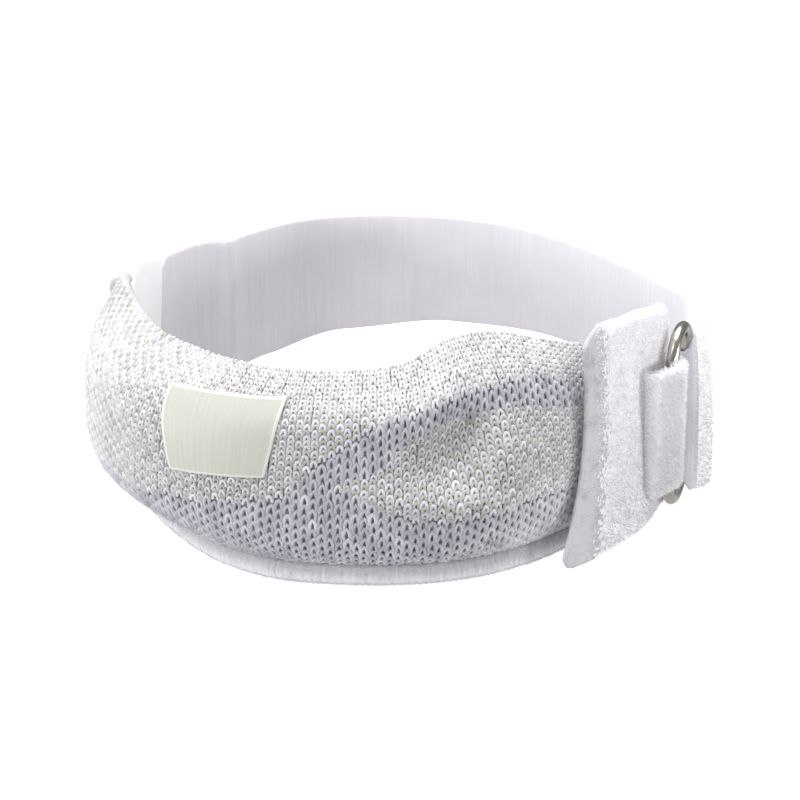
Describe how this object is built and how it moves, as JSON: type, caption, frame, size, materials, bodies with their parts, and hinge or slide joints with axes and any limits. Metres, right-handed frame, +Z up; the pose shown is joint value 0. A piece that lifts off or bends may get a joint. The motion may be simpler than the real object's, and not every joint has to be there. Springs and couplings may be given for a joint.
{
  "type": "patellar strap",
  "caption": "Padded knitted front band closed into a leg loop by a strap that runs round the back, through an oval metal ring and back on itself, worn just below the kneecap.",
  "frame": {"origin": "middle of the loop's bounding box, on the surface that the strap's lower edge stands on", "axes": "+X towards the ring, along the longest side; -Y towards the knitted front; +Z up, across the strap's width"},
  "size_m": [0.1328, 0.1132, 0.0484],
  "materials": {
    "knit": "two-tone knitted yarn",
    "welt": "soft ribbed knit",
    "label": "matte heat-pressed film",
    "smooth_tab": "smooth coated cloth",
    "strap": "fine woven elastic",
    "brushed": "short brushed pile",
    "ring": "satin nickel",
    "hooks": "hook tape"
  },
  "bodies": {
    "root": {"knit_band": "knit", "lower_welt": "welt", "label": "label", "left_tab": "smooth_tab", "back_strap": "strap", "right_tab": "brushed", "ring_keeper": "brushed", "ring": "ring", "hook_patch": "hooks"}
  },
  "joints": []
}
